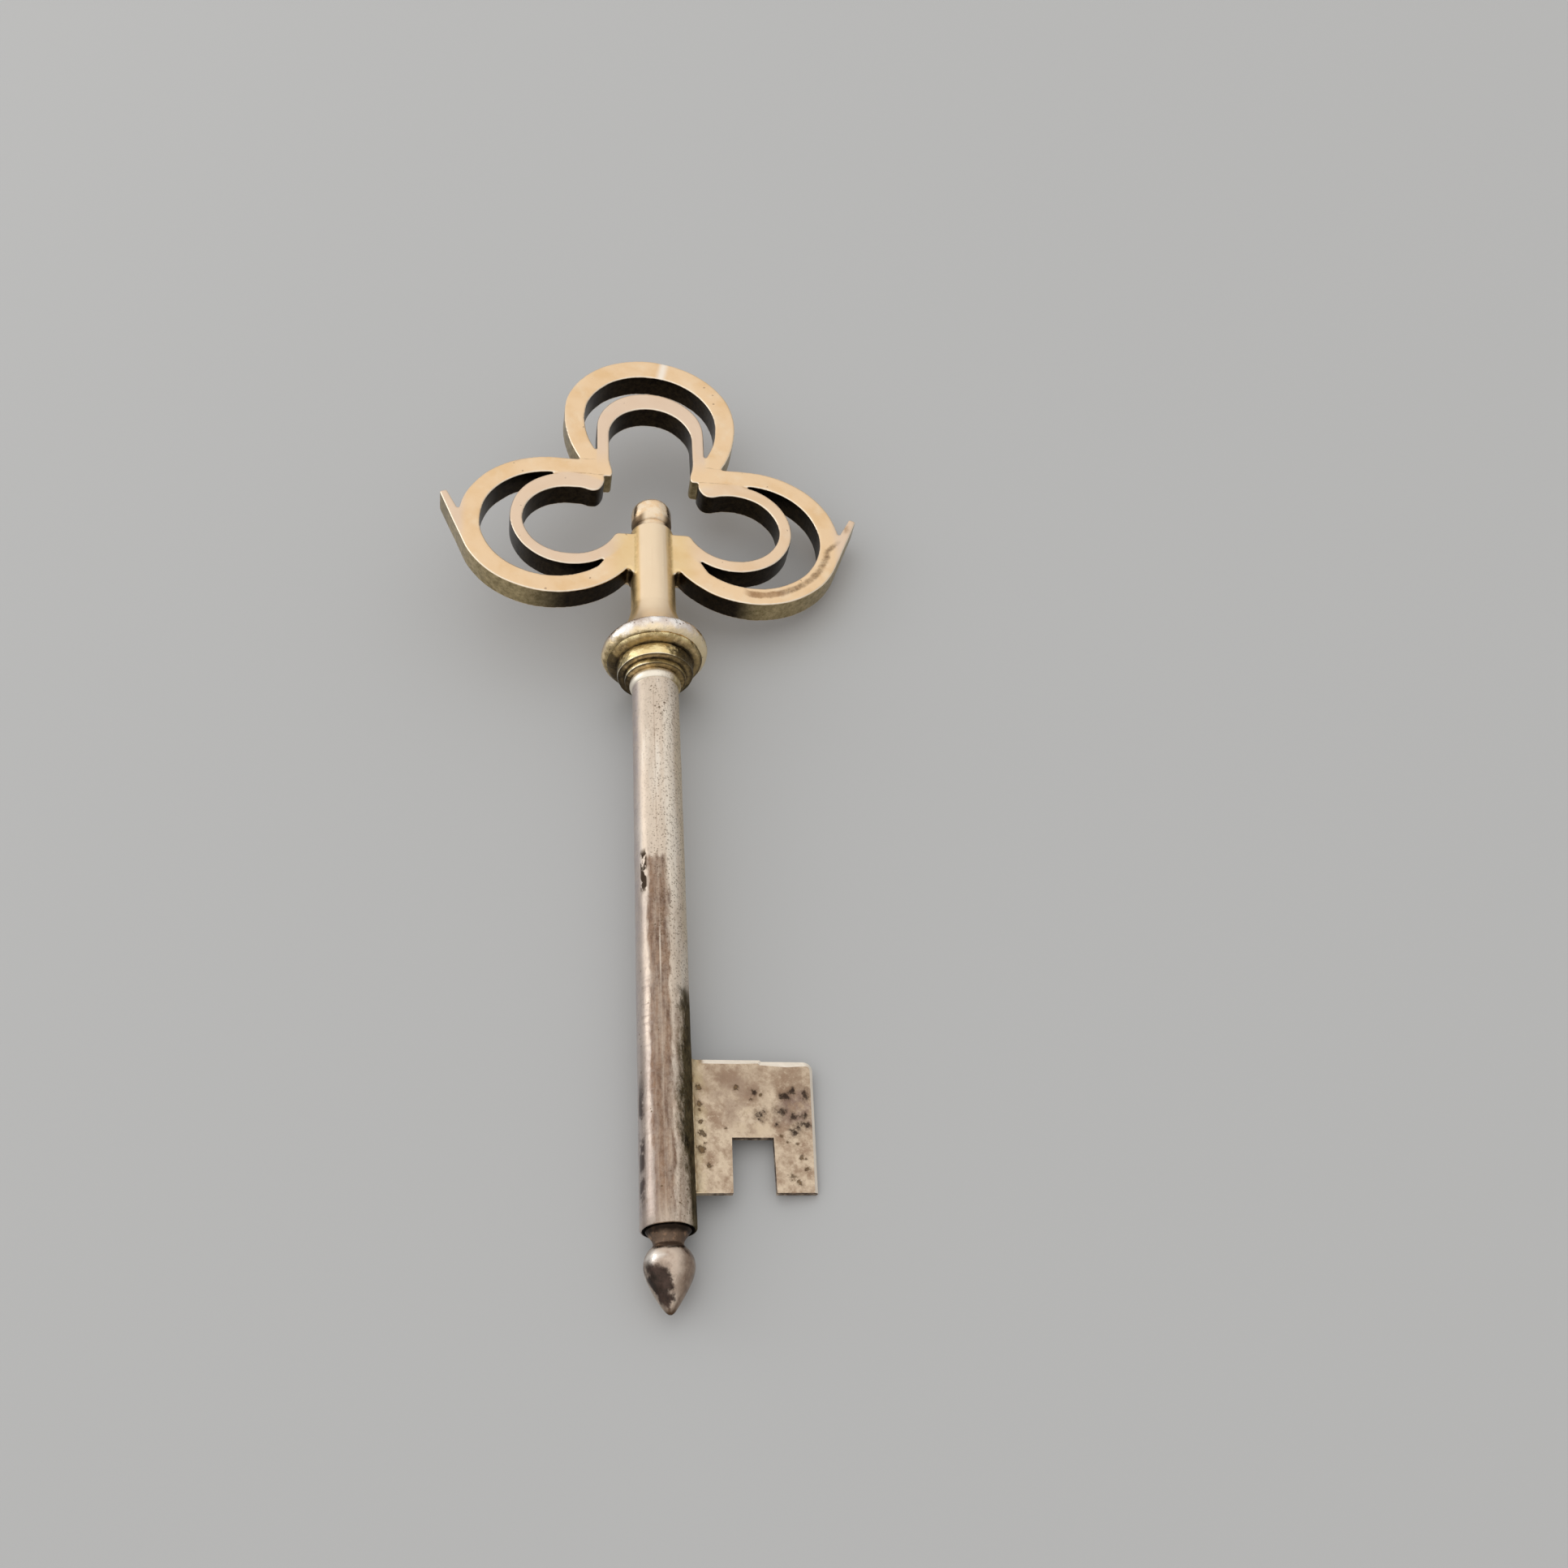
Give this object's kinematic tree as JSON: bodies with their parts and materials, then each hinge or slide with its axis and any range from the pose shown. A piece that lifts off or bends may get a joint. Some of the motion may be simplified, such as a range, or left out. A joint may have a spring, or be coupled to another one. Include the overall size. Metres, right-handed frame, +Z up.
{
  "type": "casket key",
  "caption": "Silver casket key with an open trefoil bow of paired strips, a ringed collar, a round shank, a thin notched bit and a bud finial.",
  "frame": {"origin": "middle of the key's footprint, on the surface that it lies on", "axes": "+Y runs along the key from the finial to the bow, +X to the side of the bit, +Z up from the surface; the key lies at rest on its collar, its finial and the corner of its bit"},
  "size_m": [0.0388, 0.0942, 0.01],
  "materials": {
    "silver": "old hand-polished silver with fine pits and brown tarnish streaks",
    "worn_silver": "dulled silver, mottled brown with dark pits",
    "silver_gilt": "satin silver gilt, warm pale gold",
    "pale_gilt": "satin silver gilt, worn thin and paler"
  },
  "bodies": {
    "root": {"shank_tube": "silver", "tip_finial": "silver", "bit_plate": "worn_silver", "shank_band": "silver", "collar_small_step": "silver_gilt", "collar_large_step": "silver_gilt", "collar_lip": "silver_gilt", "collar_bead": "silver", "collar_flare": "silver_gilt", "collar_core": "worn_silver", "bow_stem": "silver_gilt", "stem_cap": "silver_gilt", "bow_top_hoop": "silver_gilt", "bow_top_arch": "pale_gilt", "bow_left_lobe": "silver_gilt", "bow_left_horn": "silver_gilt", "bow_left_inner": "pale_gilt", "bow_right_lobe": "silver_gilt", "bow_right_horn": "silver_gilt", "bow_right_inner": "pale_gilt"}
  },
  "joints": []
}
